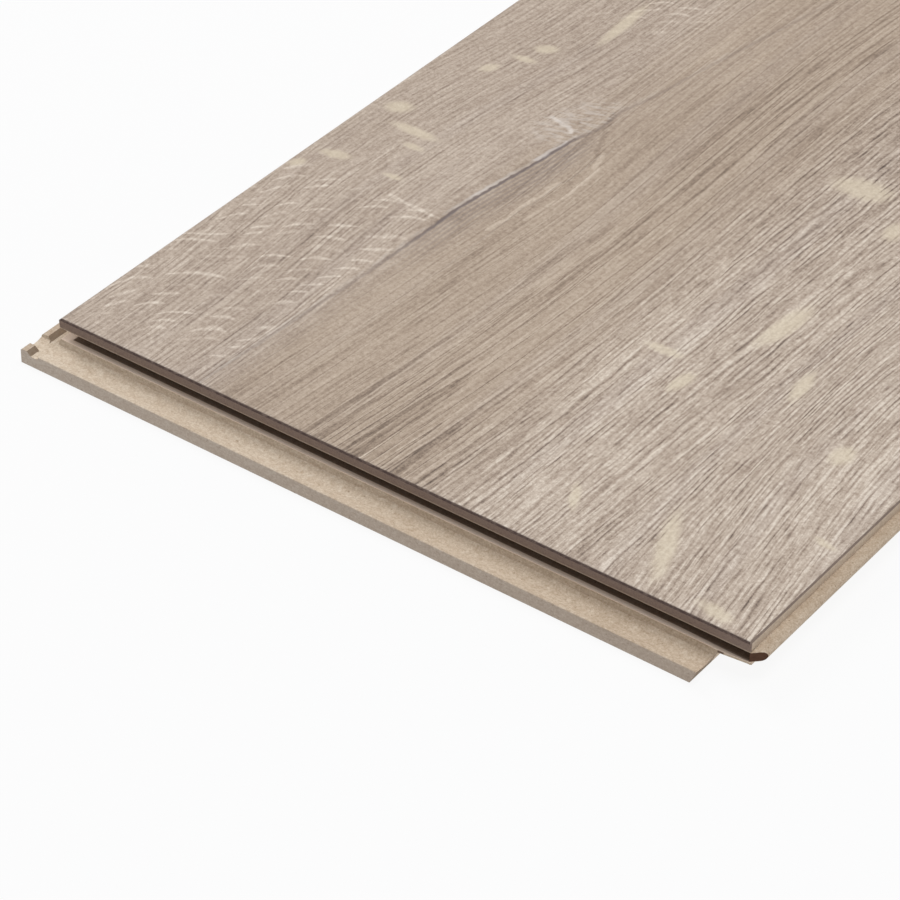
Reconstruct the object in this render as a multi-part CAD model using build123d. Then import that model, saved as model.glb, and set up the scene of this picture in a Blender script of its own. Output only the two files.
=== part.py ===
from build123d import *

import os
from dataclasses import dataclass
from math import hypot

# One laminate floor plank with a click joint on all four edges.
# The plank lies face up. X runs across it, Y along it and Z up. The origin is on the underside,
# below the middle of the decor face. The groove edges are at -X and -Y, the tongue edges at +X and +Y.
# Every edge is milled along its whole length, so the core is where the two milled prisms meet.
# The corners then differ a little from that crossing, as the corner sizes and functions below say.

# Decor face and thickness, in millimetres
face_width = 156.0
face_length = 1380.0
thickness = 8.0
decor_thickness = 0.3
decor_bevel = 0.3

# Groove and tongue, the same height on all four edges
upper_lip = 2.1
groove_height = 2.1
upper_lip_undercut = 0.08
joint_clearance = 0.08
tongue_end_gap = 0.4

# Space behind the neighbour's lower lip, under the tongue edges
lip_space = 2.1
lip_space_lean = 1.4

# Near tongue corner, trimmed at a slant below the groove's ceiling.
# Both ends of the cut are given as (out from the long edge, out from the short edge).
# The keel under the tongue stops short of the corner, the tongue itself runs on to it.
trim_start = (-5.2, 0.45)
trim_end = (0.5, -0.2)
keel_setback = 5.0

# Near groove corner, where the long ridge stands up again past the end lip's dish
ridge_end_length = 2.4


@dataclass
class ClickEdge:
    """Sizes of one pair of edges. Distances run outwards from the edge of the decor face."""

    groove_reach: float  # depth of the groove behind the face edge
    sill: float  # where the groove's floor ends
    step_run: float  # the step from the floor into the dish
    step_fall: float
    dish_fall: float  # groove's floor down to the dish's lowest point
    dish_width: float
    dish_end_rise: float  # lowest point up to the dish's outer end
    ridge_run: float  # dish's outer end to the ridge's inner edge
    ridge_rise: float  # lowest point up to the ridge's top
    ridge_width: float
    ridge_chamfer: float


long_edge = ClickEdge(
    groove_reach=2.7,
    sill=-0.6,
    step_run=0.35,
    step_fall=1.3,
    dish_fall=1.48,
    dish_width=1.75,
    dish_end_rise=0.04,
    ridge_run=0.95,
    ridge_rise=0.88,
    ridge_width=1.55,
    ridge_chamfer=0.3,
)
short_edge = ClickEdge(
    groove_reach=3.6,
    sill=0.4,
    step_run=0.45,
    step_fall=1.2,
    dish_fall=1.66,
    dish_width=5.3,
    dish_end_rise=0.7,
    ridge_run=0.2,
    ridge_rise=0.8,
    ridge_width=0.43,
    ridge_chamfer=0.1,
)

# Heights above the underside
core_top = thickness - decor_thickness
groove_ceiling = thickness - upper_lip
groove_floor = groove_ceiling - groove_height
groove_radius = groove_height / 2
tongue_radius = groove_radius - joint_clearance


def dish_points(edge):
    """The dish in the lower lip as (out, height): start, lowest point and outer end."""
    start = edge.sill + edge.step_run
    low = groove_floor - edge.dish_fall
    return (
        (start, groove_floor - edge.step_fall),
        (start + edge.dish_width / 2, low),
        (start + edge.dish_width, low + edge.dish_end_rise),
    )


def ridge_points(edge):
    """The ridge along the lower lip as (out, height): inner and outer edge of its top."""
    low, end = dish_points(edge)[1:]
    inner = end[0] + edge.ridge_run
    top = low[1] + edge.ridge_rise
    return (inner, top), (inner + edge.ridge_width, top)


def chain(stretches):
    """Joins stretches end to end: two points are a line, three points are an arc."""
    return [Line(*s) if len(s) == 2 else ThreePointArc(*s) for s in stretches]


def groove_side(edge, half_face):
    """Upper lip, groove, sill, dish and ridge, from the face edge down to the underside."""

    def at(out, height):
        return (-half_face - out, height)

    round_start = groove_radius - edge.groove_reach
    mouth = at(-upper_lip_undercut, groove_ceiling)
    inner_top = at(round_start, groove_ceiling)
    inner_end = at(-edge.groove_reach, groove_ceiling - groove_radius)
    inner_floor = at(round_start, groove_floor)
    sill = at(edge.sill, groove_floor)
    dish = [at(*p) for p in dish_points(edge)]
    (inner, top), (reach, _) = ridge_points(edge)
    ridge_inner = at(inner, top)
    ridge_outer = at(reach - edge.ridge_chamfer, top)
    lip_corner = at(reach, top - edge.ridge_chamfer)
    return chain(
        [
            (at(0, core_top), mouth),
            (mouth, inner_top),
            (inner_top, inner_end, inner_floor),
            (inner_floor, sill),
            (sill, dish[0]),
            (dish[0], dish[1], dish[2]),
            (dish[2], ridge_inner),
            (ridge_inner, ridge_outer),
            (ridge_outer, lip_corner),
            (lip_corner, at(reach, 0)),
        ]
    )


def tongue_side(edge, half_face):
    """The mating edge, joint_clearance inside the groove side, from the face edge down."""

    def at(out, height):
        return (half_face + out, height)

    gap = joint_clearance
    nose = edge.groove_reach - tongue_end_gap
    nose_top = at(nose - tongue_radius, groove_ceiling - gap)
    nose_tip = at(nose, groove_ceiling - groove_radius)
    nose_under = at(nose - tongue_radius, groove_floor + gap)
    heel = at(-edge.sill - gap, groove_floor + gap)
    (start, start_height), (low, low_height), (end, end_height) = dish_points(edge)
    keel_front = at(-start - gap, start_height + gap)
    keel_low = at(-low, low_height + gap)
    keel_back = at(-end + gap, end_height + gap)
    (inner, top), (reach, _) = ridge_points(edge)
    recess_front = at(-inner + gap, top + gap)
    recess_back = at(-reach - lip_space, top + gap)
    foot = at(-reach - lip_space - lip_space_lean, 0)
    shoulder = at(0, groove_ceiling - gap)
    return chain(
        [
            (at(0, core_top), shoulder),
            (shoulder, nose_top),
            (nose_top, nose_tip, nose_under),
            (nose_under, heel),
            (heel, keel_front),
            (keel_front, keel_low, keel_back),
            (keel_back, recess_front),
            (recess_front, recess_back),
            (recess_back, foot),
        ]
    )


def milled_section(edge, face_size):
    """Section across a pair of edges: groove side on the left, tongue side on the right."""
    half_face = face_size / 2
    groove = groove_side(edge, half_face)
    tongue = tongue_side(edge, half_face)
    face = Line(groove[0] @ 0, tongue[0] @ 0)
    underside = Line(groove[-1] @ 1, tongue[-1] @ 1)
    return make_face([*groove, underside, *tongue, face])


def block(x_range, y_range, top):
    """A box from the underside up to a height."""
    corners = ((x_range[0], y_range[0]), (x_range[1], y_range[1]))
    middle = [(corners[0][i] + corners[1][i]) / 2 for i in (0, 1)]
    size = [abs(corners[1][i] - corners[0][i]) for i in (0, 1)]
    return Pos(middle[0], middle[1], top / 2) * Box(size[0], size[1], top)


def ridge_end():
    """The last stretch of the long ridge, which the end lip's dish does not reach."""
    (inner, top), (reach, _) = ridge_points(long_edge)
    end_reach = ridge_points(short_edge)[1][0]
    foot = inner - long_edge.ridge_run
    near_end = -face_length / 2 - end_reach
    across = (-face_width / 2 - reach, -face_width / 2 - foot)
    return block(across, (near_end, near_end + ridge_end_length), top)


def far_lip_relief():
    """Waste at the far groove corner, where the next plank's end lip needs room below the long lip."""
    reach = ridge_points(long_edge)[1][0]
    end_reach = ridge_points(short_edge)[1][0]
    across = (-face_width / 2 - reach, -face_width / 2 - long_edge.sill)
    along = (face_length / 2 - end_reach - lip_space, face_length / 2 + short_edge.groove_reach)
    return block(across, along, groove_floor)


def far_tongue_relief():
    """Waste at the far tongue corner, where the next plank's tongue ends."""
    start_x = face_width / 2 - joint_clearance
    start_y = face_length / 2 - joint_clearance
    past_x = face_width / 2 + long_edge.groove_reach
    past_y = face_length / 2 + short_edge.groove_reach
    return block((start_x, past_x), (start_y, past_y), groove_ceiling - joint_clearance)


def keel_trim():
    """Waste under the near end of the long tongue, where the keel stops short."""
    inner, top = ridge_points(long_edge)[0]
    across = (face_width / 2 - inner, face_width / 2 + long_edge.groove_reach)
    along = (-face_length / 2 - ridge_points(short_edge)[1][0], -face_length / 2 + keel_setback)
    return block(across, along, top + joint_clearance)


def tongue_end():
    """Room for the near end of the long tongue and its heel, cut at 45 degrees from the face's corner."""
    x, y = face_width / 2, -face_length / 2
    low = ridge_points(long_edge)[0][1] + joint_clearance
    reach = long_edge.groove_reach
    back = y + short_edge.groove_reach
    plan = make_face(Polyline((x, y), (x + reach, y + reach), (x + reach, back), (x, back), close=True))
    return Pos(Z=low) * extrude(plan, groove_ceiling - low)


def tongue_corner_trim():
    """Waste at the near tongue corner: what lies before the slanted cut, below the groove's ceiling."""
    start, end = [(face_width / 2 + a, -face_length / 2 - b) for a, b in (trim_start, trim_end)]
    slope = (end[1] - start[1]) / (end[0] - start[0])
    left = face_width / 2 - ridge_points(long_edge)[1][0] - lip_space
    right = face_width / 2 + long_edge.groove_reach
    front = -face_length / 2 - ridge_points(short_edge)[1][0]
    cut = [(x, start[1] + slope * (x - start[0])) for x in (left, right)]
    outline = make_face(Polyline(cut[0], cut[1], (right, front), (left, front), close=True))
    return extrude(outline, groove_ceiling)


def hdf_core():
    """The milled core board. The off-cuts that the crossing passes leave at the corners fall away."""
    past_edges = hypot(face_length, face_width)
    across = Plane.XZ * milled_section(long_edge, face_width)
    along = Plane.YZ * milled_section(short_edge, face_length)
    long_prism = extrude(across, past_edges, both=True)
    short_prism = extrude(along, past_edges, both=True)
    milled = long_prism & (short_prism + ridge_end())
    milled = milled - far_lip_relief() - far_tongue_relief() - tongue_corner_trim() - keel_trim()
    milled = milled + (long_prism & tongue_end())
    return max(milled.solids(), key=lambda solid: solid.volume)


def decor_layer():
    """The pressed decor sheet on the core, bevelled through its thickness all round."""
    sheet = Rectangle(face_width, face_length)
    face = Rectangle(face_width - 2 * decor_bevel, face_length - 2 * decor_bevel)
    return loft([Pos(Z=core_top) * sheet, Pos(Z=thickness) * face], ruled=True)


def main():
    os.makedirs("parts", exist_ok=True)
    export_step(hdf_core(), "parts/hdf_core.step")
    export_step(decor_layer(), "parts/decor_layer.step")


main()
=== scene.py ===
import math
from dataclasses import dataclass

import bmesh
import bpy
import numpy as np
from mathutils import Matrix, Vector


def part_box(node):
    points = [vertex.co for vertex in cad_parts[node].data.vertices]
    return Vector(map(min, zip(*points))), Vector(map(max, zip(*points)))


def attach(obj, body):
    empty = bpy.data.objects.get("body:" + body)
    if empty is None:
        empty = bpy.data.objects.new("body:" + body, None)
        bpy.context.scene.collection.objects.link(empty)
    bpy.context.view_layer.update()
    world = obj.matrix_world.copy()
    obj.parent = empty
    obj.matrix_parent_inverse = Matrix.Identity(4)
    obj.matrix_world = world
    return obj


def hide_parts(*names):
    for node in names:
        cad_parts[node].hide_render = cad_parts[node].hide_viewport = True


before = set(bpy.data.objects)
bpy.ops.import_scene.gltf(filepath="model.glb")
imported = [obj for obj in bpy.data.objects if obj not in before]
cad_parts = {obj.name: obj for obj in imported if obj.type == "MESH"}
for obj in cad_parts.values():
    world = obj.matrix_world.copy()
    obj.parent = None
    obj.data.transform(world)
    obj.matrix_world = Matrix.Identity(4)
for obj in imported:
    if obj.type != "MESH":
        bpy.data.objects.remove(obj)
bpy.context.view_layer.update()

# The decor face, from the CAD frame, in millimetres
face_low, face_high = [Vector(corner) * 1000 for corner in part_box("decor_layer")]
half_width = face_high.x
half_length = face_high.y
core_top = face_low.z
face_bevel = 0.3

# Click profile of the core, in millimetres. Distances run outwards from the edge of the decor face.
groove_ceiling = 5.9
groove_floor = 3.8
lip_undercut = 0.08
box_margin = 0.001  # keeps the tongue's nose inside the CAD box
clearance = 0.08
tongue_end_gap = 0.4
lip_space = 2.1
lip_space_lean = 1.4
trim_start = (-5.2, 0.45)
trim_end = (0.5, -0.2)
keel_setback = 5.0
ridge_end_length = 2.4

# Relief grid of the decor face: close rows at the photographed end, wider ones along the rest
columns = 220
near_rows = 250
far_rows = 190
near_length = 250.0
deepest_relief = 0.12
grain_relief = 0.012
split_relief = 0.07
split_half_width = 0.9
patch_rise = 0.006

# Columns of ray flecks, and the number that the first one draws its random values with
ray_column_width = 7.2
first_ray_column = 3

# Camera of the photograph, solved from the plank's own edges
camera_place = Vector((0.3165, -1.1034, 0.4138))
camera_azimuth = 36.17
camera_elevation = 37.58
camera_roll = 0.75
camera_lens = 146.95

# Studio: how brightly the floor glows and the sky shines
floor_glow = 0.907
sky_strength = 0.44


# Fine mesh of the milled core

@dataclass
class ClickEdge:
    """Sizes of one pair of edges. Points are (out from the face edge, height above the underside)."""

    groove_reach: float
    sill: tuple  # where the groove's floor ends
    dish: tuple  # start, lowest point and outer end
    ridge: tuple  # inner and outer edge of its top
    chamfer: float


long_edge = ClickEdge(
    groove_reach=2.7,
    sill=(-0.6, 3.8),
    dish=((-0.25, 2.5), (0.625, 2.32), (1.5, 2.36)),
    ridge=((2.45, 3.2), (4.0, 3.2)),
    chamfer=0.3,
)
short_edge = ClickEdge(
    groove_reach=3.6,
    sill=(0.4, 3.8),
    dish=((0.85, 2.6), (3.5, 2.14), (6.15, 2.84)),
    ridge=((6.35, 2.94), (6.78, 2.94)),
    chamfer=0.1,
)


def arc(start, middle, end, steps=24):
    """Points of the circle through three points, from the first to the last."""
    a, b, c = [complex(*p) for p in (start, middle, end)]
    turn = (c - a) / (b - a)
    centre = a + (b - a) * (turn - abs(turn) ** 2) / (2j * turn.imag)
    sweep_one = np.angle((b - centre) / (a - centre))
    sweep_two = np.angle((c - centre) / (b - centre))
    angles = np.linspace(0, sweep_one + sweep_two, steps + 1)
    points = centre + (a - centre) * np.exp(1j * angles)
    return [(p.real, p.imag) for p in points]


def groove_outline(edge):
    """Upper lip, groove, dish and ridge, from the face edge down to the underside."""
    radius = (groove_ceiling - groove_floor) / 2
    round_start = radius - edge.groove_reach
    deepest = (-edge.groove_reach, groove_floor + radius)
    reach, top = edge.ridge[1]
    return [
        (0, core_top),
        (-lip_undercut, groove_ceiling),
        *arc((round_start, groove_ceiling), deepest, (round_start, groove_floor)),
        edge.sill,
        *arc(*edge.dish),
        edge.ridge[0],
        (reach - edge.chamfer, top),
        (reach, top - edge.chamfer),
        (reach, 0),
    ]


def tongue_nose(edge):
    """The rounded nose of the tongue, from its top to its underside, a hair inside the CAD box."""
    radius = (groove_ceiling - groove_floor) / 2 - clearance
    nose = edge.groove_reach - tongue_end_gap - box_margin
    height = (groove_ceiling + groove_floor) / 2
    return arc((nose - radius, height + radius), (nose, height), (nose - radius, height - radius))


def tongue_outline(edge):
    """The mating edge, clear of the groove edge, from the face edge down to the underside."""
    upper, lower = groove_ceiling - clearance, groove_floor + clearance
    front, low, back = edge.dish
    keel = arc(
        (-front[0] - clearance, front[1] + clearance),
        (-low[0], low[1] + clearance),
        (-back[0] + clearance, back[1] + clearance),
    )
    recess = edge.ridge[0][1] + clearance
    far = -edge.ridge[1][0] - lip_space
    return [
        (0, core_top),
        (0, upper),
        *tongue_nose(edge),
        (-edge.sill[0] - clearance, lower),
        *keel,
        (-edge.ridge[0][0] + clearance, recess),
        (far, recess),
        (far - lip_space_lean, 0),
    ]


def prism(name, outline, place):
    """A solid between two copies of an outline. place gives x, y and z in mm for a point and an end."""
    count = len(outline)
    points = [Vector(place(p, end)) / 1000 for end in (-1, 1) for p in outline]
    sides = [(i, (i + 1) % count, (i + 1) % count + count, i + count) for i in range(count)]
    caps = [tuple(range(count))[::-1], tuple(range(count, 2 * count))]
    mesh = bpy.data.meshes.new(name)
    mesh.from_pydata(points, [], sides + caps)
    tidy = bmesh.new()
    tidy.from_mesh(mesh)
    bmesh.ops.recalc_face_normals(tidy, faces=tidy.faces)
    tidy.to_mesh(mesh)
    tidy.free()
    piece = bpy.data.objects.new(name, mesh)
    bpy.context.scene.collection.objects.link(piece)
    return piece


def milled_section(edge, half_face):
    """Section across a pair of edges: groove side on the left, tongue side on the right."""
    left = [(-half_face - out, height) for out, height in groove_outline(edge)]
    right = [(half_face + out, height) for out, height in tongue_outline(edge)]
    return left + right[::-1]


def upright(name, plan, top):
    """A solid from below the underside up to a height, over a plan outline."""
    return prism(name, plan, lambda p, end: (p[0], p[1], top if end > 0 else -1.0))


def rectangle(x0, x1, y0, y1):
    """Corners of a rectangle, counterclockwise."""
    return [(x0, y0), (x1, y0), (x1, y1), (x0, y1)]


def carve(piece, tool, operation):
    """Unites the piece with the tool, cuts it with the tool or keeps what they share. Drops the tool."""
    cut = piece.modifiers.new("cut", "BOOLEAN")
    cut.operation = operation
    cut.solver = "EXACT"
    cut.object = tool
    bpy.context.view_layer.update()
    ready = piece.evaluated_get(bpy.context.evaluated_depsgraph_get())
    made = bpy.data.meshes.new_from_object(ready)
    piece.modifiers.clear()
    piece.data = made
    bpy.data.objects.remove(tool)


def drop_offcuts(mesh):
    """Keeps only the largest connected part of a mesh."""
    work = bmesh.new()
    work.from_mesh(mesh)
    left = set(work.verts)
    parts = []
    while left:
        part = {left.pop()}
        front = list(part)
        while front:
            near = [edge.other_vert(vert) for vert in front for edge in vert.link_edges]
            front = [vert for vert in set(near) if vert in left]
            left.difference_update(front)
            part.update(front)
        parts.append(part)
    largest = max(parts, key=lambda part: max(v.co.y for v in part) - min(v.co.y for v in part))
    waste = [vert for part in parts if part is not largest for vert in part]
    bmesh.ops.delete(work, geom=waste, context="VERTS")
    work.to_mesh(mesh)
    work.free()


def tongue_end():
    """The near end of the long tongue and its heel, cut at 45 degrees from the corner of the face."""
    reach = long_edge.groove_reach
    back = short_edge.groove_reach + 0.4
    upper, lower = groove_ceiling - clearance, groove_floor + clearance
    low = long_edge.ridge[0][1] + clearance
    heel, keel = -long_edge.sill[0] - clearance, -long_edge.dish[0][0] - clearance
    fall = (lower - low) / (lower - long_edge.dish[0][1] - clearance)
    foot = (heel + (keel - heel) * fall, low)
    outline = [(0, upper), *tongue_nose(long_edge), (heel, lower), foot, (0, low)]

    def place(p, end):
        return (half_width + p[0], back * (end > 0) - half_length, p[1])

    tongue = prism("tongue", outline, place)
    corners = ((0, 0), (reach, reach), (reach, back + 1), (-1, back + 1), (-1, 0))
    plan = [(half_width + x, -half_length + y) for x, y in corners]
    carve(tongue, upright("slant", plan, core_top), "INTERSECT")
    return tongue


def milled_core():
    """The fibreboard core: two crossing milled prisms, with the corner cuts of the CAD part."""
    past = 30.0
    long_reach, ridge_top = long_edge.ridge[1]
    end_reach = short_edge.ridge[1][0]
    along = milled_section(long_edge, half_width)
    across = milled_section(short_edge, half_length)
    core = prism("milled_core", along, lambda p, end: (p[0], end * (half_length + past), p[1]))
    ends = prism("ends", across, lambda p, end: (end * (half_width + past), p[0], p[1]))
    near = -half_length - end_reach
    ridge_foot = -half_width - long_edge.dish[2][0]
    ridge_plan = rectangle(-half_width - long_reach, ridge_foot, near, near + ridge_end_length)
    ridge = prism("ridge", ridge_plan, lambda p, end: (p[0], p[1], ridge_top if end > 0 else 0.5))
    carve(ends, ridge, "UNION")
    carve(core, ends, "INTERSECT")
    relief_start = half_length - end_reach - lip_space
    relief_side = -half_width - long_edge.sill[0]
    relief_plan = rectangle(-half_width - long_reach - 1, relief_side, relief_start, half_length + past)
    carve(core, upright("relief", relief_plan, groove_floor), "DIFFERENCE")
    start, end = [(half_width + a, -half_length - b) for a, b in (trim_start, trim_end)]
    slope = (end[1] - start[1]) / (end[0] - start[0])
    left = half_width - long_reach - lip_space
    right = half_width + long_edge.groove_reach
    cut = [(x, start[1] + slope * (x - start[0])) for x in (left, right)]
    trim_plan = [(left, near - past), (right, near - past), cut[1], cut[0]]
    carve(core, upright("trim", trim_plan, groove_ceiling), "DIFFERENCE")
    keel_side = half_width - long_edge.ridge[0][0]
    keel_plan = rectangle(keel_side, right + 1, near - past, -half_length + keel_setback)
    carve(core, upright("keel", keel_plan, ridge_top + clearance), "DIFFERENCE")
    far_plan = rectangle(half_width - clearance, right + 1, half_length - clearance, half_length + past)
    carve(core, upright("far", far_plan, groove_ceiling - clearance), "DIFFERENCE")
    carve(core, tongue_end(), "UNION")
    drop_offcuts(core.data)
    core.data.polygons.foreach_set("use_smooth", np.ones(len(core.data.polygons), bool))
    core.data.set_sharp_from_angle(angle=math.radians(25))
    return core


# Embossed mesh of the decor face

@dataclass
class Split:
    """A drying split in the printed oak: its line as (along, across) in mm, and its darkest stretch."""

    line: tuple
    dark_from: float
    dark_to: float
    bulge: float


splits = (
    Split(
        ((-20, 33.5), (8, 34.4), (37, 36.3), (50, 37.1), (65, 37.5), (76, 37.6), (87, 38.8), (98, 40.3),
         (109, 41.2), (118, 43.4), (125, 43.0), (133, 45), (150, 47.5), (187, 54), (215, 56)),
        68, 107, 5.0,
    ),
    Split(((520, 104), (560, 103), (600, 101.5), (640, 102), (680, 104), (740, 106)), 585, 640, 5.0),
    Split(((960, 58), (1000, 60), (1045, 61), (1090, 60), (1150, 57), (1200, 56)), 1020, 1085, 5.0),
)

# Cream patches of the photographed end, as across, along, width, length and lean in mm
patches = (
    (110.8, 81.7, 5.0, 18, 0.10), (123.7, 67.5, 3.6, 11, -0.12), (140.8, 54, 4.6, 7, 0.0),
    (105, 55, 3.4, 8, 0.1), (97, 61.5, 9.0, 3.0, 0.0), (130, 13, 4.4, 20, -0.40),
    (146.5, 3.5, 8.0, 4, -0.8), (151.7, 30.6, 5.0, 2.2, -1.6),
    (109, 15, 2.6, 8, -0.5), (98, 131, 13, 8, 0.2), (111, 122, 5, 8, 0.0), (14, 93.5, 13, 3.2, 0.0),
    (17.3, 88.7, 6, 2, 0.0), (5.8, 99, 6, 5.5, 0.3), (6.4, 77, 7, 3.6, 0.8), (20.5, 77.5, 5, 2, 0.5),
    (16.7, 136, 5, 4.5, 0.5), (15.4, 130, 6, 2.5, 0.5), (11.5, 122.7, 3.4, 4.5, 0.3), (2, 70, 3, 4, 0.3),
)


def smooth_step(value, start, end):
    """Rises smoothly from 0 at start to 1 at end. Falls where end is below start."""
    share = np.clip((value - start) / (end - start), 0, 1)
    return share * share * (3 - 2 * share)


def slow_waves(across, along, widths, lengths, seed):
    """A gentle random surface: a sum of long sine waves, about -1 to 1."""
    draw = np.random.default_rng(seed)
    total = np.zeros_like(across)
    count = 14
    for _ in range(count):
        width = draw.uniform(*widths)
        length = draw.uniform(*lengths) * draw.choice((-1, 1))
        phase = draw.uniform(0, 2 * math.pi)
        total += np.sin(2 * math.pi * (across / width + along / length) + phase)
    return total / math.sqrt(count)


def split_fields(x, y):
    """Signed distance to the nearest split, its strength, and how far it pushes the grain aside."""
    gap = np.full_like(x, 2 * half_width)
    strength = np.zeros_like(x)
    push = np.zeros_like(x)
    for split in splits:
        along, across = np.array(split.line, float).T
        off = x - np.interp(y, along, across)
        ends = np.clip((y - along[0]) / 30, 0, 1) * np.clip((along[-1] - y) / 50, 0, 1)
        dark = np.clip((y - split.dark_from) / 30 + 0.9, 0.30, 1)
        dark = dark * np.clip((split.dark_to - y) / 10 + 1, 0.22, 1)
        near = np.abs(off) < np.abs(gap)
        gap = np.where(near, off, gap)
        strength = np.where(near, ends * dark, strength)
        middle = 0.5 * (split.dark_from + split.dark_to)
        reach = np.exp(-(((y - middle) / 20) ** 2))
        right = np.clip(off, 0, None)
        push += split.bulge * reach * np.exp(-right / 9) * (1 - np.exp(-right / 6)) * (off > 0)
    return gap, strength, push


def patch_field(x, y):
    """Cream ray patches: those of the photographed end, then seeded ones along the rest."""
    draw = np.random.default_rng(41)
    more = []
    for along in np.arange(150, 2 * half_length, 15.0):
        across = draw.uniform(84, 152) if draw.random() < 0.72 else draw.uniform(4, 30)
        width = draw.uniform(3, 6)
        length = draw.uniform(9, 24)
        more.append((across, along + draw.uniform(-6, 6), width, length, draw.uniform(-0.2, 0.2)))
    total = np.zeros_like(x)
    for across, along, width, length, lean in (*patches, *more):
        ahead = y - along
        beside = x - across - lean * ahead
        total = np.maximum(total, np.exp(-((beside / width * 1.7) ** 2) - (ahead / length * 1.7) ** 2))
    return total


def oak_fields(x, y):
    """What the decor's material reads at each grid point, by name."""
    gap, strength, push = split_fields(x, y)
    drift = 2.5 * slow_waves(x, y, (90, 240), (260, 800), 2)
    left = smooth_step(x - push + drift, 42, 34)
    right = smooth_step(x - push + drift, 74, 98)
    fan = 3.5 * left * smooth_step(y, 20, 75) * smooth_step(y, 150, 95)
    sweep = 8 * np.sin((y - 20) / 40) * smooth_step(x, 116, 138)
    bow = -1.5 * np.sin((y - 10) / 35) * (1 - left) * (1 - right)
    grain = x - push + drift + fan + sweep + bow - 0.03 * y
    calm = 0.6 + 0.4 * right
    cloud = 0.035 * calm * slow_waves(x, y, (25, 80), (60, 220), 5)
    bands = 0.032 * calm * slow_waves(grain, y, (3, 10), (150, 600), 9)
    far_dusk = (0.03 + 0.09 * right) * smooth_step(y, 70, 140) * (1 - left)
    near_dusk = 0.04 * smooth_step(y, 45, 10) * (1 - right) * (1 - left)
    near_rays = smooth_step(y, 78, 66) * smooth_step(y, 1, 12)
    more_rays = smooth_step(slow_waves(x, y, (60, 140), (60, 160), 71), -0.1, 0.5)
    more_rays = more_rays * smooth_step(y, 140, 170)
    grey_lines = smooth_step(slow_waves(grain, y, (8, 26), (150, 500), 33), 0.1, 1.3)
    plain_left = left * (1 - np.maximum(smooth_step(y, 92, 74), more_rays))
    plain_strip = smooth_step(x - push + drift, 72, 50) * (1 - left)
    lined_end = smooth_step(y, 45, 10) * smooth_step(x, 52, 66) * (1 - right)
    ray_aside = x + 1.2 * slow_waves(x, y, (20, 60), (25, 70), 61)
    return {
        "grain": grain,
        "lively": 1 - 0.22 * plain_left - 0.35 * plain_strip + 0.4 * lined_end,
        "gap": gap,
        "split": strength,
        "patch": patch_field(x, y),
        "left": left,
        "right": right,
        "tint": 0.57 + 0.15 * right + 0.05 * left + cloud + bands - far_dusk - near_dusk,
        "grey": 0.3 * grey_lines + 0.7 * (left + right),
        "rays": np.maximum(near_rays, more_rays) * left * smooth_step(gap, -0.6, -2.0),
        "ray_column": ray_aside / ray_column_width + first_ray_column,
        "ray_level": y + 0.5 * slow_waves(x, y, (9, 25), (9, 25), 63),
    }


def decor_sheet():
    """The pressed decor layer: an embossed face, a bevelled resin edge all round and a flat back."""
    inner_x, inner_y = half_width - face_bevel, half_length - face_bevel
    xs = np.linspace(-inner_x, inner_x, columns + 1)
    near_ys = np.linspace(-inner_y, -inner_y + near_length, near_rows + 1)
    far_ys = np.linspace(-inner_y + near_length, inner_y, far_rows + 1)
    ys = np.concatenate([near_ys, far_ys[1:]])
    grid_x, grid_y = [g.ravel() for g in np.meshgrid(xs, ys)]
    across = grid_x + half_width
    along = grid_y + half_length
    fields = oak_fields(across, along)
    inland = np.minimum.reduce([across, 2 * half_width - across, along, 2 * half_length - along])
    sunk = grain_relief * (1 + slow_waves(fields["grain"], along, (2.4, 7), (160, 700), 3))
    sunk = sunk + split_relief * fields["split"] * np.exp(-((fields["gap"] / split_half_width) ** 2))
    sunk = sunk - patch_rise * fields["patch"]
    sunk = np.clip(sunk, 0, deepest_relief) * np.clip((inland - 0.4) / 1.5, 0, 1)
    top = np.stack([grid_x, grid_y, face_high.z - sunk], 1)

    width = columns + 1
    index = np.arange(len(top)).reshape(-1, width)
    quads = np.stack([index[:-1, :-1], index[:-1, 1:], index[1:, 1:], index[1:, :-1]], -1).reshape(-1, 4)
    rim = np.concatenate([index[0, :-1], index[:-1, -1], index[-1, :0:-1], index[:0:-1, 0]])
    foot = top[rim].copy()
    for axis, inner, outer in ((0, inner_x, half_width), (1, inner_y, half_length)):
        on_edge = np.abs(foot[:, axis]) > inner - 0.001
        foot[:, axis] = np.where(on_edge, np.sign(foot[:, axis]) * outer, foot[:, axis])
    foot[:, 2] = core_top
    below = len(top) + np.arange(len(rim))
    edge = np.stack([rim, below, np.roll(below, -1), np.roll(rim, -1)], 1)

    mesh = bpy.data.meshes.new("oak_decor_face")
    faces = [*quads.tolist(), *edge.tolist(), below[::-1].tolist()]
    mesh.from_pydata((np.concatenate([top, foot]) / 1000).tolist(), [], faces)
    on_top = np.arange(len(faces)) < len(quads)
    mesh.polygons.foreach_set("material_index", np.where(on_top, 0, 1).astype(np.int32))
    mesh.polygons.foreach_set("use_smooth", on_top)
    for name, values in fields.items():
        whole = np.concatenate([values, values[rim]]).astype(np.float32)
        mesh.attributes.new(name, "FLOAT", "POINT").data.foreach_set("value", whole)
    mesh.update()
    piece = bpy.data.objects.new("oak_decor_face", mesh)
    bpy.context.scene.collection.objects.link(piece)
    return piece


# Materials

def tone(red, green, blue):
    """A colour as it shows on screen, as the linear values that a shader takes."""
    linear = [((c / 255 + 0.055) / 1.055) ** 2.4 for c in (red, green, blue)]
    return (*linear, 1.0)


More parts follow.
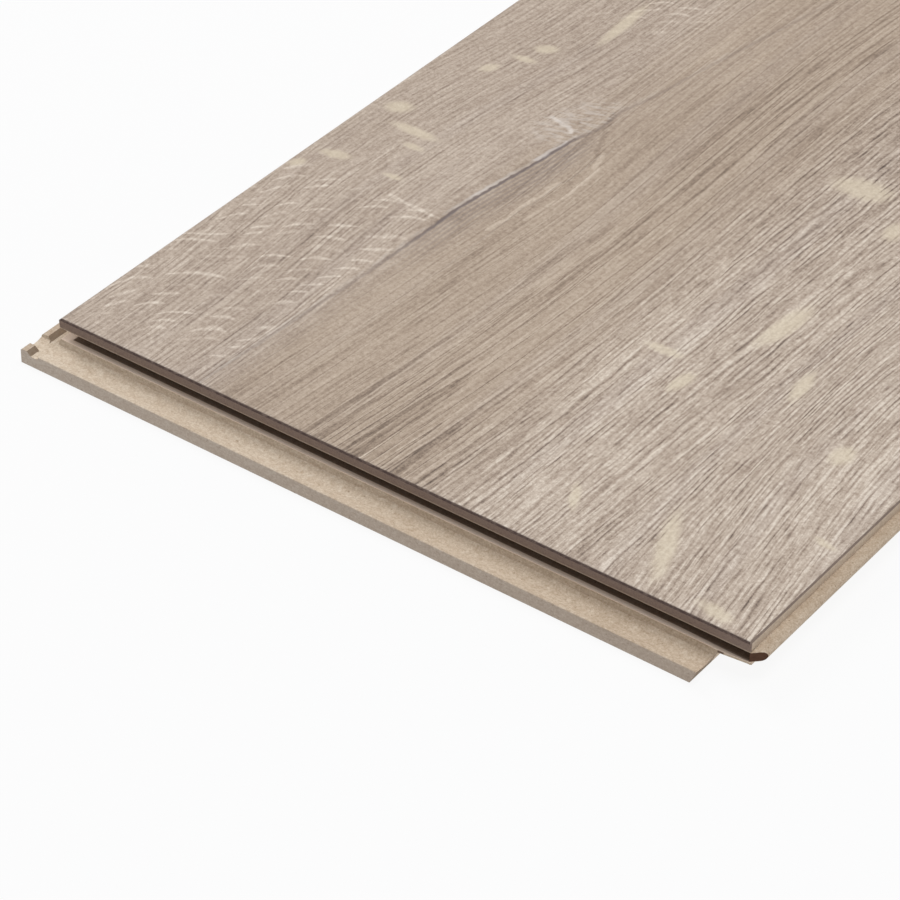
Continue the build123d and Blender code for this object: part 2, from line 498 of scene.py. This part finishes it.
class Shader:
    """One material's nodes. Most calls add a node and give back its output."""

    def __init__(self, name):
        self.material = bpy.data.materials.new(name)
        self.material.use_nodes = True
        self.tree = self.material.node_tree
        self.tree.nodes.clear()

    def add(self, kind, values=None, **settings):
        made = self.tree.nodes.new("ShaderNode" + kind)
        for key, value in settings.items():
            setattr(made, key, value)
        for key, value in (values or {}).items():
            if isinstance(value, bpy.types.NodeSocket):
                self.tree.links.new(value, made.inputs[key])
            else:
                made.inputs[key].default_value = value
        return made

    def math(self, operation, *values, clamp=False):
        made = self.add("Math", dict(enumerate(values)), operation=operation, use_clamp=clamp)
        return made.outputs[0]

    def times(self, *values):
        total = values[0]
        for value in values[1:]:
            total = self.math("MULTIPLY", total, value)
        return total

    def plus(self, *values):
        total = values[0]
        for value in values[1:]:
            total = self.math("ADD", total, value)
        return total

    def minus(self, a, b):
        return self.math("SUBTRACT", a, b)

    def vary(self, value, gain):
        """A noise value made to swing about zero."""
        return self.times(self.minus(value, 0.5), gain)

    def step(self, value, start, end):
        """Rises smoothly from 0 at start to 1 at end. Falls where end is below start."""
        low, high = min(start, end), max(start, end)
        ends = (0.0, 1.0) if start < end else (1.0, 0.0)
        inputs = {"Value": value, "From Min": low, "From Max": high, "To Min": ends[0], "To Max": ends[1]}
        return self.add("MapRange", inputs, interpolation_type="SMOOTHSTEP").outputs[0]

    def point(self, x, y, z=0.0):
        return self.add("CombineXYZ", {"X": x, "Y": y, "Z": z}).outputs[0]

    def noise(self, point, detail=2.0, roughness=0.5):
        inputs = {"Vector": point, "Scale": 1.0, "Detail": detail, "Roughness": roughness}
        return self.add("TexNoise", inputs, noise_dimensions="3D").outputs[0]

    def chance(self, x, y, seed):
        """An even random number for each whole x and y."""
        inputs = {"Vector": self.point(x, y, seed)}
        return self.add("TexWhiteNoise", inputs, noise_dimensions="3D").outputs["Value"]

    def blend(self, share, a, b):
        return self.add("Mix", {"Factor": share, 6: a, 7: b}, data_type="RGBA").outputs[2]

    def ramp(self, value, colours):
        made = self.add("ValToRGB", {"Fac": value})
        stops = made.color_ramp.elements
        while len(stops) < len(colours):
            stops.new(0.5)
        for i, colour in enumerate(colours):
            stops[i].position = i / (len(colours) - 1)
            stops[i].color = colour
        return made.outputs["Color"]

    def field(self, name):
        return self.add("Attribute", attribute_name=name).outputs["Fac"]

    def place(self):
        """X, Y and Z on the plank in millimetres, from the frame's origin."""
        here = self.add("TexCoord").outputs["Object"]
        split = self.add("SeparateXYZ", {0: here})
        return [self.times(axis, 1000.0) for axis in split.outputs]

    def stroke(self, here, start, end, width):
        """1 on a straight stroke between two points, fading out over its width."""
        path = Vector((end[0] - start[0], end[1] - start[1], 0.0))
        inputs = {0: here, 1: (start[0], start[1], 0.0)}
        rel = self.add("VectorMath", inputs, operation="SUBTRACT").outputs[0]
        inputs = {0: rel, 1: path / path.length_squared}
        dot = self.add("VectorMath", inputs, operation="DOT_PRODUCT").outputs[1]
        share = self.math("ADD", dot, 0.0, clamp=True)
        foot = self.add("VectorMath", {0: path, "Scale": share}, operation="SCALE").outputs[0]
        apart = self.add("VectorMath", {0: rel, 1: foot}, operation="DISTANCE").outputs[1]
        return self.step(apart, width, width * 0.25)

    def strokes(self, here, *strokes):
        """The strongest of several strokes, each given as start, end and width."""
        total = 0.0
        for start, end, width in strokes:
            total = self.math("MAXIMUM", self.stroke(here, start, end, width), total)
        return total

    def finish(self, colour, roughness, height, depth, specular=0.5):
        bump = self.add("Bump", {"Height": height, "Distance": depth, "Strength": 1.0})
        inputs = {"Base Color": colour, "Roughness": roughness, "Normal": bump.outputs[0]}
        surface = self.add("BsdfPrincipled", inputs)
        surface.inputs["Specular IOR Level"].default_value = specular
        self.add("OutputMaterial", {"Surface": surface.outputs[0]})
        return self.material


class OakShader(Shader):
    """The decor's shader, with its place on the face and what the mesh tells it at hand."""

    def __init__(self):
        super().__init__("oak_decor")
        x, y, _ = self.place()
        self.x = self.plus(x, half_width)
        self.y = self.plus(y, half_length)
        self.left = self.field("left")
        self.right = self.field("right")
        wobble = self.vary(self.spots(0.30, 0.10, 10.0), self.by_zone(0.4, 0.8, 0.6))
        self.grain = self.plus(self.field("grain"), wobble)
        self.gap = self.field("gap")
        self.split = self.field("split")

    def spots(self, across, along, seed, detail=1.0, roughness=0.5):
        """Noise on the face. across and along are its waves per millimetre."""
        point = self.point(self.times(self.x, across), self.times(self.y, along), seed)
        return self.noise(point, detail, roughness)

    def streaks(self, across, along, seed, detail=1.0, roughness=0.55):
        """Noise drawn out along the grain."""
        point = self.point(self.times(self.grain, across), self.times(self.y, along), seed)
        return self.noise(point, detail, roughness)

    def by_zone(self, middle, right, left):
        """A share with one value in each zone of the face."""
        on_right = self.times(self.right, right - middle)
        on_left = self.times(self.left, left - middle)
        return self.plus(middle, on_right, on_left)


def oak_grain(s):
    """The grain as a swing about zero: combed lines, thin lines with a painted highlight on one side,
    streaks and pores.
    """
    wander = s.times(s.streaks(0.16, 0.012, 12.0), 3.0)
    turns = s.plus(s.times(s.grain, 0.80), wander)
    crest = s.plus(0.5, s.times(s.math("SINE", s.times(turns, 2 * math.pi)), 0.5))
    fade = s.step(s.streaks(0.40, 0.050, 14.0), 0.28, 0.68)
    comb = s.times(s.minus(0.33, s.math("POWER", crest, 2.5)), fade, s.by_zone(0.11, 0.40, 0.22))
    level = s.minus(s.streaks(0.42, 0.007, 16.0, 2.0, 0.5), 0.5)
    line = s.times(s.step(s.math("ABSOLUTE", level), 0.032, 0.010), s.by_zone(-0.17, -0.05, -0.08))
    # Painted highlight: a light line beside each thin dark line, as where light catches an embossed edge.
    beside = s.times(s.step(level, 0.026, 0.048), s.step(level, 0.090, 0.060))
    light = s.times(beside, s.by_zone(0.09, 0.03, 0.04))
    mesh = s.minus(s.streaks(0.62, 0.05, 24.0, 2.0, 0.6), 0.5)
    net = s.times(s.step(s.math("ABSOLUTE", mesh), 0.060, 0.015), s.by_zone(-0.04, -0.14, -0.07))
    weave = s.vary(s.streaks(1.1, 0.028, 15.0), s.by_zone(0.16, 0.30, 0.22))
    pores = s.vary(s.streaks(1.8, 0.16, 18.0), s.by_zone(0.34, 0.66, 0.50))
    return s.times(s.plus(comb, line, light, net, weave, pores), s.field("lively"))


def oak_flecks(s):
    """Slanted, slightly arched light dashes in columns, as rays show in oak cut near the radius."""
    row_height = 4.2
    u = s.field("ray_column")
    column = s.math("FLOOR", u)
    aside = s.minus(s.math("FRACT", u), 0.5)
    rise = s.plus(7.5, s.times(s.x, -0.08))
    arch = s.times(aside, aside, 5.0)
    level = s.plus(s.minus(s.field("ray_level"), s.times(aside, rise)), arch)
    v = s.plus(s.math("DIVIDE", level, row_height), s.times(s.chance(column, 0.0, 7.0), 5.0))
    row = s.math("FLOOR", v)
    shift = s.vary(s.chance(column, row, 11.0), 0.4)
    there = s.step(s.chance(column, row, 13.0), 0.0, 0.50)
    off = s.math("ABSOLUTE", s.minus(s.minus(s.math("FRACT", v), 0.5), shift))
    length = s.plus(0.28, s.times(s.chance(column, row, 17.0), 0.24))
    end = s.math("DIVIDE", s.math("ABSOLUTE", aside), length)
    taper = s.math("SUBTRACT", 1.0, s.math("POWER", end, 2.0), clamp=True)
    thin = s.math("DIVIDE", off, s.plus(s.times(taper, 0.24), 0.001))
    return s.times(s.step(thin, 1.0, 0.1), there, s.step(taper, 0.0, 0.6), s.field("rays"))


def oak_fibres(s, here):
    """Pale torn fibres and arcs, and dark hairlines, around the split at the photographed end."""
    pale = s.strokes(
        here,
        ((33, 114.8), (39.6, 113), 1.1), ((24, 71.9), (36.4, 71.0), 0.7), ((49.4, 109), (51.8, 103), 0.8),
        ((51.8, 103), (52.4, 95), 0.9), ((52.4, 95), (50.4, 81), 0.8), ((48.4, 96), (47, 74), 0.7),
    )
    dark = s.strokes(
        here,
        ((20.5, 131.7), (16, 104), 0.6), ((41.2, 110), (44, 118.5), 0.9), ((44, 118.5), (42.2, 124), 0.8),
        ((45.2, 117), (48.6, 108), 0.8), ((42.6, 106), (43.6, 84), 0.6), ((45.0, 104), (45.4, 88), 0.5),
    )
    return pale, dark


def oak_split(s, here, colour, grain):
    """The drying splits: a dark line, a grey lined band on its right and frayed fibres on its left."""
    ragged = s.plus(s.gap, s.vary(s.spots(1.0, 0.45, 70.0, 2.0), 0.9))
    lines = s.math("SINE", s.times(s.plus(s.gap, grain), 6.0))
    band = s.times(s.step(ragged, -0.2, 0.5), s.step(ragged, 9.0, 3.0), s.split)
    colour = s.blend(s.times(band, s.plus(0.24, s.times(lines, 0.26))), colour, tone(128, 117, 113))
    crack = s.times(s.step(s.math("ABSOLUTE", ragged), 0.62, 0.12), s.math("POWER", s.split, 0.8))
    colour = s.blend(s.times(crack, 0.78), colour, tone(98, 87, 88))
    fray = s.times(s.step(ragged, -1.4, -0.8), s.step(ragged, -0.2, -0.6), s.split)
    fray = s.times(fray, s.step(grain, -0.15, 0.1))
    colour = s.blend(s.times(fray, 0.60), colour, tone(208, 202, 198))
    slanted = s.plus(s.y, s.times(s.x, -0.35))
    hairs = s.noise(s.point(s.times(s.x, 0.35), s.times(slanted, 1.1), 92.0), 1.0)
    swirl = s.times(s.stroke(here, (37, 112), (40, 122), 8.0), s.step(s.gap, 0.4, -0.8))
    swirl = s.times(swirl, s.step(hairs, 0.44, 0.64))
    colour = s.blend(s.times(swirl, 0.46), colour, tone(206, 197, 189))
    torn = s.strokes(here, ((33, 114.8), (39.6, 113), 1.0), ((39.8, 100), (40.6, 109), 0.6))
    return s.blend(s.times(torn, 0.32), colour, tone(219, 214, 212)), crack


def oak_decor():
    """Printed oak: ray flecks on the left, calm grain in the middle, lively grain on the right."""
    s = OakShader()
    grain = oak_grain(s)
    patch = s.step(s.plus(s.field("patch"), s.times(grain, 0.45)), 0.30, 0.86)
    grain = s.times(grain, s.minus(1.0, s.times(patch, 0.75)))
    flecks = oak_flecks(s)
    speckle = s.spots(1.1, 0.95, 80.0, 2.0, 0.95)
    sway = s.vary(s.spots(0.35, 0.18, 90.0), 2.2)
    here = s.point(s.plus(s.x, sway), s.plus(s.y, sway))
    pale, dark = oak_fibres(s, here)
    shade = s.plus(s.field("tint"), grain, s.vary(speckle, s.by_zone(0.66, 1.0, 0.80)))
    shade = s.plus(shade, s.times(patch, 0.12), s.times(flecks, 0.24))
    shade = s.plus(shade, s.times(pale, 0.19), s.times(dark, -0.11))
    tones = (
        tone(84, 69, 59),
        tone(130, 113, 98),
        tone(167, 149, 132),
        tone(193, 177, 160),
        tone(220, 208, 192),
    )
    colour = s.ramp(shade, tones)
    greyer = s.ramp(shade, (tone(80, 71, 69), tone(162, 149, 143), tone(212, 202, 196)))
    colour = s.blend(s.times(s.field("grey"), 0.32), colour, greyer)
    colour = s.blend(s.times(patch, 0.46), colour, tone(210, 197, 171))
    colour, crack = oak_split(s, here, colour, grain)
    rim = s.step(s.minus(half_length, s.math("ABSOLUTE", s.minus(s.y, half_length))), 0.60, 0.34)
    colour = s.blend(s.times(rim, 0.75), colour, tone(88, 71, 64))
    height = s.minus(grain, s.times(crack, 0.5))
    return s.finish(colour, s.plus(0.42, s.times(grain, -0.2)), height, 0.00017, specular=0.3)


def resin_edge():
    """The cut edge of the resin-soaked papers: dark brown with the odd paler chip, and painted light on
    faces turned towards +x.
    """
    s = Shader("resin_edge")
    x, y, z = s.place()
    chip = s.noise(s.point(s.times(x, 0.9), s.times(y, 0.9), s.times(z, 2.0)), 4.0, 0.7)
    colour = s.blend(s.step(chip, 0.40, 0.75), tone(70, 53, 48), tone(112, 95, 86))
    facing = s.add("SeparateXYZ", {0: s.add("NewGeometry").outputs["Normal"]}).outputs[0]
    # Painted light: faces turned towards +x are made lighter, as if lit.
    colour = s.blend(s.times(s.step(facing, 0.3, 0.6), 0.45), colour, tone(168, 150, 136))
    roughness = s.plus(0.45, s.times(chip, 0.25))
    return s.finish(colour, roughness, chip, 0.00008, specular=0.35)


def fibreboard():
    """Milled fibreboard: fine fibres, a darker pressed skin under the decor, dark wax with painted shade
    in the grooves, and painted light and shade on some faces.
    """
    s = Shader("fibreboard")
    x, y, z = s.place()
    from_end = s.plus(y, half_length)
    from_side = s.plus(x, half_width)
    past_tongue_edge = s.minus(x, half_width)
    facing = s.add("SeparateXYZ", {0: s.add("NewGeometry").outputs["Normal"]}).outputs
    fine = s.noise(s.point(s.times(x, 2.6), s.times(y, 2.6), s.times(z, 2.6)), 4.0, 0.75)
    fibre = s.noise(s.point(s.times(x, 0.9), s.times(y, 0.9), s.times(z, 3.0)), 3.0, 0.65)
    cloud = s.noise(s.point(s.times(x, 0.06), s.times(y, 0.06), s.times(z, 0.3)), 3.0)
    # The x term makes the board darker towards +x: painted shade across the plank.
    shade = s.plus(0.75, s.vary(fine, 1.2), s.vary(fibre, 0.7), s.vary(cloud, 0.3), s.times(x, -0.0011))
    dust = s.noise(s.point(s.times(x, 1.7), s.times(y, 1.7), s.times(z, 1.7)), 1.0)
    shade = s.minus(shade, s.times(s.step(dust, 0.70, 0.78), 0.35))
    tones = (
        tone(116, 93, 72),
        tone(154, 132, 109),
        tone(180, 160, 138),
        tone(199, 181, 160),
        tone(218, 204, 186),
    )
    colour = s.ramp(shade, tones)
    # Painted shade: walls turned towards +x outside the face are darkened to olive brown, as if in
    # shadow.
    outside = s.step(s.math("MINIMUM", from_side, from_end), 0.0, -0.3)
    shaded_wall = s.times(s.step(facing[0], 0.30, 0.60), outside)
    colour = s.blend(s.times(shaded_wall, 0.75), colour, tone(112, 92, 74))
    # Painted shade: the top of the long edge's ridge is darkened brown, as if turned away from the light.
    ridge_top = s.times(s.step(facing[2], 0.8, 0.95), s.step(z, 3.12, 3.18), s.step(z, 3.30, 3.22))
    ridge_top = s.times(ridge_top, s.step(from_side, -2.0, -2.3))
    colour = s.blend(s.times(ridge_top, 0.35), colour, tone(150, 128, 110))
    # Painted shade: the front face of the end lip is made greyer and darker, as if in shade.
    front = s.times(s.step(facing[1], -0.6, -0.9), s.step(from_end, -6.0, -6.5))
    colour = s.blend(s.times(front, 0.36), colour, tone(152, 143, 142))
    # Painted light: the shoulder above the tongue, turned towards +x, is made lighter, as if well lit.
    lit_tongue_wall = s.times(s.step(facing[0], 0.6, 0.9), s.step(past_tongue_edge, -0.3, -0.1))
    side = s.times(lit_tongue_wall, s.step(z, 5.7, 5.9))
    colour = s.blend(s.times(side, 0.35), colour, tone(216, 200, 184))
    # Painted light: a pale strip along the groove's floor near the open ends, lightened against the shade
    # under the upper lip.
    lit_floor_reach = s.math("MAXIMUM", s.step(from_end, 0.8, 0.5), s.step(from_side, 2.85, 2.65))
    sill = s.times(s.step(z, 3.66, 3.76), s.step(z, 3.92, 3.84), lit_floor_reach)
    colour = s.blend(s.times(sill, 0.85), colour, tone(244, 224, 207))
    skin = s.times(s.step(z, 5.8, 6.2), s.step(from_end, 0.7, 0.4))
    colour = s.blend(s.times(skin, s.plus(0.85, s.vary(fine, 0.8))), colour, tone(116, 97, 90))

    # Dark wax stain with painted shade: the insides of the grooves, the cut end of the tongue and the end
    # of the lower lip are darkened where shade falls.
    in_groove = s.times(s.step(z, 3.72, 3.84), s.step(z, 5.96, 5.86))
    mouth = s.plus(from_end, s.times(s.step(past_tongue_edge, -18.0, -1.0), 0.4))
    end_groove = s.times(s.step(mouth, 0.60, 0.82), s.step(from_end, 3.9, 3.7))
    end_groove = s.times(end_groove, s.step(past_tongue_edge, 0.0, -0.1))
    long_groove = s.times(s.step(from_side, 0.3, 1.6), s.step(from_side, 3.0, 2.8))
    long_groove = s.times(long_groove, s.step(from_end, 3.9, 4.3))
    past_long_groove = s.times(end_groove, s.step(from_side, 2.65, 2.85))
    waxed_and_shaded = s.times(s.math("MAXIMUM", past_long_groove, long_groove), in_groove)
    slant = s.minus(from_end, past_tongue_edge)
    cut_end = s.times(s.step(slant, 0.12, 0.04), s.step(past_tongue_edge, -0.05, 0.0))
    cut_end = s.times(cut_end, s.step(z, 5.9, 5.8), s.step(z, 3.9, 4.0))
    past_lip = s.minus(x, half_width - long_edge.ridge[1][0] - lip_space)
    lip_end = s.times(s.step(past_lip, -0.1, 0.1), s.step(past_lip, 1.3, 1.1))
    lip_end = s.times(lip_end, s.step(from_end, 0.1, -0.1), s.step(z, 3.79, 3.7))
    stain_and_shade = s.math("MAXIMUM", s.math("MAXIMUM", waxed_and_shaded, cut_end), s.times(lip_end, 0.8))
    colour = s.blend(s.times(stain_and_shade, 0.96), colour, s.blend(fibre, tone(63, 37, 22), tone(88, 55, 36)))
    roughness = s.plus(0.72, s.times(fine, 0.2))
    height = s.plus(s.times(fine, 0.6), s.times(fibre, 0.4))
    return s.finish(colour, roughness, height, 0.00012, specular=0.15)


def floor_paint():
    """A plain pale studio floor that glows a little, so that shadows on it stay faint."""
    s = Shader("floor")
    x, y, _ = s.place()
    mottle = s.noise(s.point(s.times(x, 0.002), s.times(y, 0.002), 0.0), 2.0)
    colour = s.blend(mottle, tone(68, 68, 69), tone(71, 71, 72))
    material = s.finish(colour, s.plus(0.85, s.times(mottle, 0.05)), mottle, 0.00001, specular=0.05)
    surface = s.tree.nodes["Principled BSDF"]
    surface.inputs["Emission Color"].default_value = (1.0, 1.0, 1.0, 1.0)
    surface.inputs["Emission Strength"].default_value = floor_glow
    return material


# Studio

def make_floor():
    half = 20.0
    mesh = bpy.data.meshes.new("floor")
    corners = [(x, y, 0) for x, y in rectangle(-half, half, -half, half)]
    mesh.from_pydata(corners, [], [(0, 1, 2, 3)])
    piece = bpy.data.objects.new("floor", mesh)
    bpy.context.scene.collection.objects.link(piece)
    mesh.materials.append(floor_paint())


def make_light(name, place, aim, size, power):
    lamp = bpy.data.lights.new(name, "AREA")
    lamp.shape = "DISK"
    lamp.size = size
    lamp.energy = power
    piece = bpy.data.objects.new(name, lamp)
    piece.location = place
    piece.rotation_euler = (Vector(aim) - Vector(place)).to_track_quat("-Z", "Y").to_euler()
    bpy.context.scene.collection.objects.link(piece)


def make_lights():
    world = bpy.data.worlds.new("studio")
    world.use_nodes = True
    sky = world.node_tree.nodes["Background"]
    sky.inputs["Color"].default_value = (1.0, 1.0, 1.0, 1.0)
    sky.inputs["Strength"].default_value = sky_strength
    bpy.context.scene.world = world
    make_light("left", (-2.2, 0.2, 1.7), (0, -0.6, 0), 1.0, 28)
    make_light("top", (0.4, -0.2, 2.7), (0, -0.6, 0), 1.6, 38)


def make_camera():
    lens = bpy.data.cameras.new("camera")
    lens.lens = camera_lens
    lens.sensor_width = 36.0
    lens.clip_end = 100.0
    piece = bpy.data.objects.new("camera", lens)
    turn = Matrix.Rotation(math.radians(camera_azimuth), 4, "Z")
    tip = Matrix.Rotation(math.radians(90 - camera_elevation), 4, "X")
    roll = Matrix.Rotation(math.radians(camera_roll), 4, "Z")
    piece.matrix_world = Matrix.Translation(camera_place) @ turn @ tip @ roll
    bpy.context.scene.collection.objects.link(piece)
    bpy.context.scene.camera = piece


# Put together

def dress(piece, node, slot, *materials):
    """Gives a piece its materials, hangs it under the root body and hides the CAD node that it stands in
    for. The slot is not used.
    """
    for material in materials:
        piece.data.materials.append(material)
    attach(piece, "root")
    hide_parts(node)


bpy.context.scene.view_settings.view_transform = "Standard"
dress(milled_core(), "hdf_core", "fibreboard", fibreboard())
dress(decor_sheet(), "decor_layer", "oak_decor", oak_decor(), resin_edge())
make_floor()
make_lights()
make_camera()
